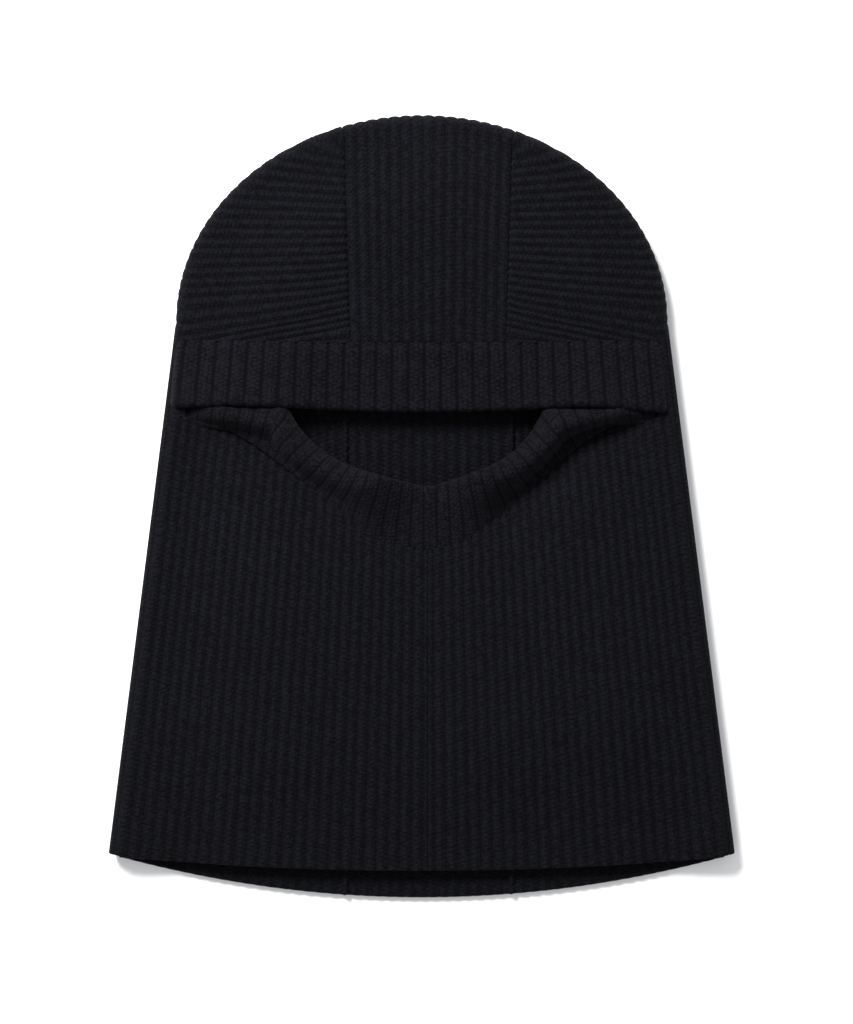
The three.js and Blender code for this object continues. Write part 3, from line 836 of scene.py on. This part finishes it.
def band_grid():
    stations = band_stations()
    q = np.linspace(0, 1, BAND_FACE_STEPS + 1)
    middle = band_middle(stations, q[None, :])
    line = middle[:, BAND_FACE_STEPS // 2]
    steps = np.linalg.norm(np.diff(line, axis=0), axis=1)
    is_cheek = np.abs(middle[:, 0, 1]) < TEMPLE_Y + 1
    pitch = np.where(is_cheek, CHEEK_RIB, BAND_RIB)
    phase = np.concatenate([[0], np.cumsum(steps / ((pitch[:-1] + pitch[1:]) / 2))])
    count = round(phase[-1] * RIB_SAMPLES)
    at = np.linspace(0, phase[-1], count + 1)
    flat = middle.reshape(len(middle), -1)
    even = np.stack([np.interp(at, phase, flat[:, k]) for k in range(flat.shape[1])], axis=1)
    even = even.reshape(len(at), -1, 3)
    return even, at, q


def grid_normals(middle):
    along = np.gradient(middle, axis=0)
    across = np.gradient(middle, axis=1)
    return unit(np.cross(along, across))


def knit_band():
    middle, phase, q = band_grid()
    out = grid_normals(middle)
    brow = len(phase) // 2
    if out[brow, BAND_FACE_STEPS // 2, 2] < 0:
        out = -out
    half = BAND_THICKNESS / 2
    across = unit(np.gradient(middle, axis=1))
    on_cheek = smooth(-middle[:, 0, 1], -BROW_Y, -TEMPLE_Y)
    depth = mix(BROW_FURROW, CHEEK_FURROW, on_cheek)
    relief = rib_relief(phase, depth=depth, fullness=0.3)[:, None]
    taper = 1 - 0.28 * (1 - smooth(q * BAND_WIDTH, 0, 4))[None, :]
    relief = relief * (1 - 0.6 * smooth(q, 0.85, 1))[None, :]
    front = middle + out * (half * taper + relief)[..., None]
    back = middle - out * (half * taper + relief)[..., None]
    nose = []
    for angle in np.linspace(90, -90, 9)[1:-1]:
        a = math.radians(angle)
        size = (half + relief)[:, -1, None]
        nose.append(middle[:, -1] + out[:, -1] * size * math.sin(a) + across[:, -1] * size * math.cos(a))
    nose = np.stack(nose, axis=1)
    heel = middle[:, :1] - across[:, :1] * 0.4
    ring = np.concatenate([front, nose, back[:, ::-1], heel], axis=1)
    rows, size = ring.shape[:2]
    points = ring.reshape(-1, 3)
    start = np.arange(rows - 1)[:, None] * size
    step = np.arange(size)[None, :]
    turn = (step + 1) % size
    quads = np.stack([start + step, start + turn, start + size + turn, start + size + step], axis=-1)
    courses = BAND_WIDTH / COURSE
    v_ring = np.concatenate(
        [
            q * courses,
            courses + np.linspace(0, 2, nose.shape[1] + 2)[1:-1],
            courses + 2 + q * courses,
            [2 * courses + 3],
        ]
    )
    v = np.stack([v_ring[step], v_ring[step] + 0 * turn, v_ring[step], v_ring[step]], axis=-1)
    v[..., 1] = np.append(v_ring[1:], v_ring[-1] + 1)[step]
    v[..., 2] = v[..., 1]
    v = np.broadcast_to(v, (rows - 1, size, 4))
    u = np.stack([phase[:-1], phase[:-1], phase[1:], phase[1:]], axis=-1)[:, None, :]
    uv = np.stack([np.broadcast_to(u, v.shape), v], axis=-1).reshape(-1, 4, 2)
    quads = quads.reshape(-1, 4)
    caps, cap_uv = [], []
    hubs = np.stack([ring[0].mean(axis=0), ring[-1].mean(axis=0)])
    for k, first in enumerate((0, (rows - 1) * size)):
        hub = len(points) + k
        for s in range(size):
            pair = [first + (s + 1) % size, first + s]
            caps.append([hub, *(pair if k == 0 else pair[::-1])])
            cap_uv += [[phase[-k], v_ring[s]]] * 3
    faces = quads.tolist() + caps
    points = np.concatenate([points, hubs])
    uv = np.concatenate([uv.reshape(-1, 2), np.array(cap_uv)])
    if signed_volume(points, quads) < 0:
        faces = [f[::-1] for f in faces]
        side_uv = uv[: 4 * len(quads)].reshape(-1, 4, 2)[:, ::-1].reshape(-1, 2)
        uv = np.concatenate([side_uv, uv[4 * len(quads) :]])
    piece = new_object("face_band_knit", points, faces, uv)
    print("band ribs", round(float(phase[-1]), 1), "triangles", 2 * len(quads) + len(caps))
    print("band length", round(float(walked(middle)[-1].mean()), 1))
    print("band area", round(cloth_area(middle), 4))
    return piece, middle


face_band, band_line = knit_band()

# %% [markdown]
# The pieces are linked on the inside, loop by loop, with the same yarn. Each link is a flat chain of
# loops. A chain is a sweep along the seam whose width and height swell at every loop and narrow between.

# %% Chains of linking yarn
RIDGE_WIDTH = 2.4
RIDGE_HEIGHT = 1.2
LOOP_LENGTH = 2.08
LOOP_SAMPLES = 5
CHAIN_SIDES = 8
UP = np.array([0.0, 0, 1])


def chain(name, path, outs):
    steps = np.linalg.norm(np.diff(path, axis=0), axis=1)
    along = np.concatenate([[0], np.cumsum(steps)])
    count = max(8, round(along[-1] / LOOP_LENGTH * LOOP_SAMPLES))
    at = np.linspace(0, along[-1], count + 1)
    place = np.stack([np.interp(at, along, path[:, k]) for k in range(3)], axis=-1)
    up = unit(np.stack([np.interp(at, along, outs[:, k]) for k in range(3)], axis=-1))
    ahead = unit(np.gradient(place, axis=0))
    aside = unit(np.cross(ahead, up))
    loop = np.abs(np.sin(math.pi * at / LOOP_LENGTH)) ** 0.7
    swell = mix(0.55, 1.0, loop)[:, None, None]
    sway = 0.22 * np.sin(math.pi * at / LOOP_LENGTH + 0.6)[:, None, None]
    angles = np.linspace(0, 2 * math.pi, CHAIN_SIDES + 1)[:-1][None, :, None]
    wide = RIDGE_WIDTH / 2 * np.cos(angles) * swell + sway
    high = RIDGE_HEIGHT / 2 * np.sin(angles) * swell
    ring = place[:, None, :] + aside[:, None, :] * wide + up[:, None, :] * high
    rows, size = ring.shape[:2]
    start = np.arange(rows - 1)[:, None] * size
    step = np.arange(size)[None, :]
    turn = (step + 1) % size
    quads = np.stack([start + step, start + turn, start + size + turn, start + size + step], axis=-1)
    quads = quads.reshape(-1, 4)
    v = np.stack([at[:-1], at[:-1], at[1:], at[1:]], axis=-1)[:, None, :] / LOOP_LENGTH
    u = np.stack([step, step + 1, step + 1, step], axis=-1) / size
    uv = np.stack(np.broadcast_arrays(u, v + 0 * u), axis=-1).reshape(-1, 2)
    points = np.concatenate([ring.reshape(-1, 3), place[:1], place[-1:]])
    caps, cap_uv = [], []
    for k, first in enumerate((0, (rows - 1) * size)):
        for s in range(size):
            pair = [first + (s + 1) % size, first + s]
            caps.append([rows * size + k, *(pair if k == 0 else pair[::-1])])
            cap_uv += [[0.5, at[-k] / LOOP_LENGTH]] * 3
    faces = quads.tolist() + caps
    if signed_volume(points, quads) < 0:
        faces = [f[::-1] for f in faces]
    piece = new_object(name, points, faces, np.concatenate([uv, np.array(cap_uv)]))
    print(name, "loops", round(float(along[-1] / LOOP_LENGTH)))
    return piece


def inside_of(place, out, thickness=FABRIC):
    return place - out * (thickness / 2 + JOIN_GAP + RIDGE_HEIGHT / 2)


def strip_seam(side, name):
    middle, out, _ = strip_grid()
    column = 0 if side < 0 else -1
    end = -4
    path, outs = middle[:end, column], out[:end, column]
    return chain(name, inside_of(path, outs), outs)


left_strip_seam = strip_seam(-1, "left_strip_seam_chain")
right_strip_seam = strip_seam(1, "right_strip_seam_chain")

front_y = np.linspace(float(front_hem(MIDDLE_X)) + 1, CHIN_Y - 1, 60)
path, outs = on_front(MIDDLE_X + 0 * front_y, front_y)
centre_front_seam = chain("centre_front_seam_chain", inside_of(path, outs), outs)

band_edge = band_line[:, 1]
band_up = np.broadcast_to(UP, band_edge.shape)
band_path = band_edge - band_up * (BAND_THICKNESS / 2 + JOIN_GAP + RIDGE_HEIGHT / 2)
face_band_seam = chain("face_band_seam_chain", band_path, band_up)

chin_y = np.linspace(float(linked_to_bib(np.array(7.0))) + 4, CHIN_FREE_Y - 1, 12)
chin_z = float(cheek_z(7.0)) - BAND_THICKNESS / 2 - JOIN_GAP - RIDGE_HEIGHT / 2
chin_path = stack(CHIN_JOIN_X, chin_y, chin_z)
chin_up = np.broadcast_to(UP, chin_path.shape)
chin_seam = chain("chin_seam_chain", chin_path, chin_up)

# %% [markdown]
# The care label is a short piece of blank satin tape, sewn flat inside the back of the neck along one
# edge. It is too thin to need two grids, so a plane is subdivided, curled a little at its free edge,
# and thickened.

# %% The care label and its thread
LABEL_CURL = 0.25


def care_label_piece():
    size = label_hi - label_lo
    middle = (label_lo + label_hi) / 2
    bpy.ops.object.select_all(action="DESELECT")
    bpy.ops.mesh.primitive_grid_add(
        x_subdivisions=40, y_subdivisions=66, size=1, location=(0, 0, 0)
    )
    tape = bpy.context.object
    tape.name = "care_label_tape"
    for v in tape.data.vertices:
        x, y = v.co.x * size[0], v.co.y * size[1]
        rise = LABEL_CURL * (0.5 + v.co.x) ** 3 + 0.05 * math.sin(y * 0.4)
        v.co = ((middle[0] + x) * MM, (middle[1] + y) * MM, (label_lo[2] + 0.12 + rise) * MM)
    solid = tape.modifiers.new("thickness", "SOLIDIFY")
    solid.thickness = 0.24 * MM
    solid.offset = 0
    bpy.ops.object.modifier_apply(modifier=solid.name)
    bpy.ops.object.shade_smooth_by_angle(angle=math.radians(60))
    tape.data.uv_layers[0].name = "knit"
    tape.select_set(False)
    return tape


def care_label_stitches():
    """The paths of a row of short straight stitches, one for each thin rounded bar."""
    count = 14
    length = (thread_hi[1] - thread_lo[1]) / count
    x = (thread_lo[0] + thread_hi[0]) / 2
    z = label_hi[2] + 0.02
    y = thread_lo[1] + (np.arange(count) + 0.5) * length
    pieces = []
    for k in range(count):
        path = stack(x, np.linspace(y[k] - 0.36 * length, y[k] + 0.36 * length, 7), 0)
        path[:, 2] = z + 0.12 * np.sin(np.linspace(0, math.pi, 7))
        pieces.append(path)
    return pieces


def stitch_object(paths):
    bpy.ops.object.select_all(action="DESELECT")
    made = []
    for path in paths:
        bpy.ops.mesh.primitive_cylinder_add(vertices=8, radius=0.17 * MM, depth=1 * MM)
        bar = bpy.context.object
        low, high = path[0], path[-1]
        for v in bar.data.vertices:
            share = v.co.z / MM + 0.5
            at = mix(low, high, share)
            v.co = (at[0] * MM + v.co.x, at[1] * MM, at[2] * MM + v.co.y)
        made.append(bar)
    for bar in made:
        bar.select_set(True)
    bpy.context.view_layer.objects.active = made[0]
    bpy.ops.object.join()
    sewn = bpy.context.object
    sewn.name = "care_label_stitches"
    bpy.ops.object.mode_set(mode="EDIT")
    bpy.ops.mesh.select_all(action="SELECT")
    bpy.ops.mesh.normals_make_consistent(inside=False)
    bpy.ops.object.mode_set(mode="OBJECT")
    bpy.ops.object.shade_smooth_by_angle(angle=math.radians(50))
    sewn.data.uv_layers[0].name = "knit"
    sewn.select_set(False)
    return sewn


care_label = care_label_piece()
care_label_thread = stitch_object(care_label_stitches())
print("label", tuple(round(v * 1000, 1) for v in care_label.dimensions))

# %% [markdown]
# The finishes are worked out from numbers, not pictures. A material's numbers are easier to read as
# arithmetic than as a web of boxes, so one small class wraps a socket: adding or multiplying two of them
# adds the Math node that does it.

# %% A socket that can be calculated with


class Wire:
    """One value in a material's node tree."""

    def __init__(self, tree, socket):
        self.tree = tree
        self.socket = socket

    def node(self, kind, settings=None, **inputs):
        """Any node: its settings first, then the values or wires of its sockets, by name or place."""
        made = self.tree.nodes.new(kind)
        for key, value in (settings or {}).items():
            setattr(made, key, value)
        for key, value in inputs.items():
            key = key.replace("_", " ") if not key[1:].isdigit() else int(key[1:])
            socket = made.inputs[key]
            if isinstance(value, Wire):
                self.tree.links.new(value.socket, socket)
            else:
                socket.default_value = value
        return made

    def wire(self, socket):
        return Wire(self.tree, socket)

    def maths(self, operation, *others):
        made = self.node("ShaderNodeMath", {"operation": operation}, s0=self)
        for place, other in enumerate(others, start=1):
            if isinstance(other, Wire):
                self.tree.links.new(other.socket, made.inputs[place])
            else:
                made.inputs[place].default_value = other
        return self.wire(made.outputs[0])

    def __add__(self, other):
        return self.maths("ADD", other)

    __radd__ = __add__

    def __sub__(self, other):
        return self.maths("SUBTRACT", other)

    def __rsub__(self, other):
        return self.maths("MULTIPLY_ADD", -1.0, other)

    def __mul__(self, other):
        return self.maths("MULTIPLY", other)

    __rmul__ = __mul__

    def __pow__(self, other):
        return self.maths("POWER", other)

    def fraction(self):
        return self.maths("FRACT")

    def sine(self):
        return self.maths("SINE")

    def size(self):
        return self.maths("ABSOLUTE")

    def between(self, low, high):
        """0 below low, 1 above high, and smooth in between."""
        made = self.node(
            "ShaderNodeMapRange",
            {"interpolation_type": "SMOOTHSTEP"},
            Value=self,
        )
        made.inputs["From Min"].default_value = low
        made.inputs["From Max"].default_value = high
        return self.wire(made.outputs[0])


def new_finish(name):
    material = bpy.data.materials.new(name)
    material.use_nodes = True
    tree = material.node_tree
    shader = tree.nodes["Principled BSDF"]
    return material, Wire(tree, None), shader


def rib_and_course(w):
    uv = w.node("ShaderNodeUVMap", {"uv_map": "knit"})
    split = w.node("ShaderNodeSeparateXYZ", None, Vector=w.wire(uv.outputs[0]))
    return w.wire(split.outputs[0]), w.wire(split.outputs[1])


def fibre_noise(w, scale, detail=2.0, roughness=0.6):
    at = w.node("ShaderNodeTexCoord")
    made = w.node(
        "ShaderNodeTexNoise", None, Vector=w.wire(at.outputs["Object"]), Scale=scale
    )
    made.inputs["Detail"].default_value = detail
    made.inputs["Roughness"].default_value = roughness
    return w.wire(made.outputs[0])


# %% [markdown]
# Each rib carries columns of plump loops, two on the body and three on the band. A column's courses are
# set off from its neighbour's, so that the loops don't line up in rows, and noise for the yarn and its
# loose fibres blurs them. The loops are bump. The same numbers also set the colour: painted highlight on
# a loop and painted shade in a gap between loops and in a furrow, beside a random tone of yarn and fibres.

# %% Finishes of the knitted pieces
BODY_DARK = (0.0009, 0.0009, 0.0014, 1)
BODY_LIGHT = (0.0046, 0.0049, 0.0074, 1)
BAND_DARK = (0.0008, 0.0008, 0.0013, 1)
BAND_LIGHT = (0.0051, 0.0053, 0.0078, 1)
SHEEN = 0.022

# Columns of loops in a rib, where the first starts, how far each column's courses are set off from its
# neighbour's, where the painted shade in a furrow begins and is full, and how dark it is.
BODY_RIB = (2, 0.5, 0.38, (0.5, 0.97), 0.66)
BAND_RIB_LOOK = (3, 0.0, 0.5, (0.55, 1.0), 0.78)
FLUFF_SCALE = 1500
YARN_SCALE = 420
PATCH_SCALE = 28


def knit_finish(name, dark, light, look, bump_height, sheen):
    wales, first_wale, brick_shift, painted_shade_span, painted_shade_depth = look
    material, w, shader = new_finish(name)
    rib, course = rib_and_course(w)
    fluff = fibre_noise(w, FLUFF_SCALE)
    yarn = fibre_noise(w, YARN_SCALE)
    patch = fibre_noise(w, PATCH_SCALE, 3.0)
    from_rib = ((rib.fraction() - 0.5) * 2).size()
    wale = rib * wales + first_wale
    from_wale = ((wale.fraction() - 0.5) * 2).size()
    brick = (wale - wale.fraction()) * brick_shift
    place = (course + brick + (yarn - 0.5) * 0.9).fraction() - 0.5
    loop = 1 - (place.size() * 2) ** 2.0
    across = 1 - from_wale**2.4
    stitch = loop * (0.25 + across * 0.75)
    # Painted shade: the colour darkens towards each furrow between the ribs.
    furrow_painted_shade = 1 - from_rib.between(*painted_shade_span) * painted_shade_depth
    height = stitch * 0.6 + fluff * 1.2 + yarn * 0.4
    bump = w.node("ShaderNodeBump", None, Height=height, Distance=bump_height, Strength=1.0)
    # Painted highlight on each loop and painted shade in the gaps between loops, mixed with random tone of
    # the yarn, fibres and patches.
    tone_and_painted_shade = stitch * 0.7 + (yarn - 0.5) * 2.3 + (fluff - 0.5) * 4.2 + (patch - 0.5) * 0.4
    tone_and_painted_shade = (tone_and_painted_shade + 0.25) * furrow_painted_shade
    share = tone_and_painted_shade.between(0.0, 1.15)
    colour = w.node("ShaderNodeMix", {"data_type": "RGBA"})
    w.tree.links.new(share.socket, colour.inputs[0])
    colour.inputs[6].default_value = dark
    colour.inputs[7].default_value = light
    w.tree.links.new(colour.outputs[2], shader.inputs["Base Color"])
    w.tree.links.new(bump.outputs[0], shader.inputs["Normal"])
    shader.inputs["Roughness"].default_value = 0.92
    shader.inputs["Specular IOR Level"].default_value = 0.075
    shader.inputs["Sheen Weight"].default_value = sheen
    shader.inputs["Sheen Roughness"].default_value = 0.45
    shader.inputs["Sheen Tint"].default_value = (0.62, 0.64, 0.75, 1)
    return material


body_knit = knit_finish("body_knit", BODY_DARK, BODY_LIGHT, BODY_RIB, 0.0005, SHEEN)
band_knit = knit_finish("band_knit", BAND_DARK, BAND_LIGHT, BAND_RIB_LOOK, 0.0004, SHEEN)
linking_yarn = knit_finish("linking_yarn", BODY_DARK, BODY_LIGHT, BODY_RIB, 0.0003, SHEEN)

# %% [markdown]
# Satin tape is woven so that one set of its threads floats on top. Two sets of fine waves, one along the
# tape and one slanting across it, give that in the bump and, faintly, in the colour.

# %% Finishes of the label and its thread


def satin_finish():
    material, w, shader = new_finish("label_satin")
    at = w.node("ShaderNodeTexCoord")
    split = w.node("ShaderNodeSeparateXYZ", None, Vector=w.wire(at.outputs["Object"]))
    x, y = w.wire(split.outputs[0]), w.wire(split.outputs[1])
    weft = (y * 9000).sine() * 0.5 + 0.5
    warp = (x * 14000 + y * 2500).sine() * 0.5 + 0.5
    height = weft * 0.6 + warp * 0.4
    bump = w.node("ShaderNodeBump", None, Height=height, Distance=0.00005, Strength=0.6)
    w.tree.links.new(bump.outputs[0], shader.inputs["Normal"])
    colour = w.node("ShaderNodeMix", {"data_type": "RGBA"})
    w.tree.links.new((height * 0.5 + fibre_noise(w, 300) * 0.5).socket, colour.inputs[0])
    colour.inputs[6].default_value = (0.55, 0.55, 0.52, 1)
    colour.inputs[7].default_value = (0.68, 0.68, 0.65, 1)
    w.tree.links.new(colour.outputs[2], shader.inputs["Base Color"])
    shader.inputs["Roughness"].default_value = 0.42
    shader.inputs["Sheen Weight"].default_value = 0.2
    return material


label_satin = satin_finish()
label_thread = knit_finish("label_thread", BODY_DARK, BODY_LIGHT, BODY_RIB, 0.0001, SHEEN)

# %% [markdown]
# Every piece now gets its finish and is tied to the frame: it rides on the one body, and it stands for
# the plain part that is named beside it here, which is hidden.

# %% Put the pieces on the frame
PIECES = (
    (centre_strip, "centre_strip", "body_knit", body_knit),
    (left_side_panel, "left_side_panel", "body_knit", body_knit),
    (right_side_panel, "right_side_panel", "body_knit", body_knit),
    (face_band, "face_band", "band_knit", band_knit),
    (left_strip_seam, "left_strip_seam", "linking_yarn", linking_yarn),
    (right_strip_seam, "right_strip_seam", "linking_yarn", linking_yarn),
    (centre_front_seam, "centre_front_seam", "linking_yarn", linking_yarn),
    (face_band_seam, "face_band_seam", "linking_yarn", linking_yarn),
    (chin_seam, "chin_seam", "linking_yarn", linking_yarn),
    (care_label, "care_label", "label_satin", label_satin),
    (care_label_thread, "care_label_thread", "label_thread", label_thread),
)
for piece, node, slot, material in PIECES:
    piece.data.materials.clear()
    piece.data.materials.append(material)
    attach(piece, body)
    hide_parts(node)

# %% [markdown]
# Dark knit shows its ribs only where light comes from one side, so one soft box stands high beyond the
# crown, to the left, and an even pale room fills the shadows. The floor is plain pale paper. The camera
# looks straight down with a long lens, which keeps the flat outline from bulging.

# %% Floor, light and camera
FLOOR_GAP = 0.0002
ROOM_BRIGHTNESS = 0.69
KEY_POWER = 43
CAMERA_PLACE = (0.0022, -0.0025, 1.313)
floor_z = cad_lo.z - FLOOR_GAP
bpy.ops.mesh.primitive_plane_add(size=8, location=(0, 0, floor_z))
floor = bpy.context.object
floor.name = "floor"
paper, w, shader = new_finish("pale_paper")
shader.inputs["Base Color"].default_value = (0.96, 0.96, 0.96, 1)
shader.inputs["Roughness"].default_value = 0.9
shader.inputs["Specular IOR Level"].default_value = 0.1
floor.data.materials.append(paper)

world = bpy.data.worlds.new("soft_room")
bpy.context.scene.world = world
world.use_nodes = True
world.node_tree.nodes["Background"].inputs[0].default_value = (0.97, 0.98, 1.0, 1)
world.node_tree.nodes["Background"].inputs[1].default_value = ROOM_BRIGHTNESS


def soft_box(name, location, size, power, colour=(1, 1, 1)):
    data = bpy.data.lights.new(name, "AREA")
    data.shape = "SQUARE"
    data.size = size
    data.energy = power
    data.color = colour
    lamp = bpy.data.objects.new(name, data)
    bpy.context.scene.collection.objects.link(lamp)
    lamp.location = location
    aim = -lamp.location
    lamp.rotation_euler = aim.to_track_quat("-Z", "Y").to_euler()
    return lamp


soft_box("key_light", (-0.6, 0.9, 1.05), 0.5, KEY_POWER)

bpy.context.scene.view_settings.view_transform = "Standard"
camera_data = bpy.data.cameras.new("camera")
camera_data.lens = 100
camera_data.sensor_width = 36
camera = bpy.data.objects.new("camera", camera_data)
bpy.context.scene.collection.objects.link(camera)
camera.location = CAMERA_PLACE
camera.rotation_euler = (0, 0, 0)
bpy.context.scene.camera = camera
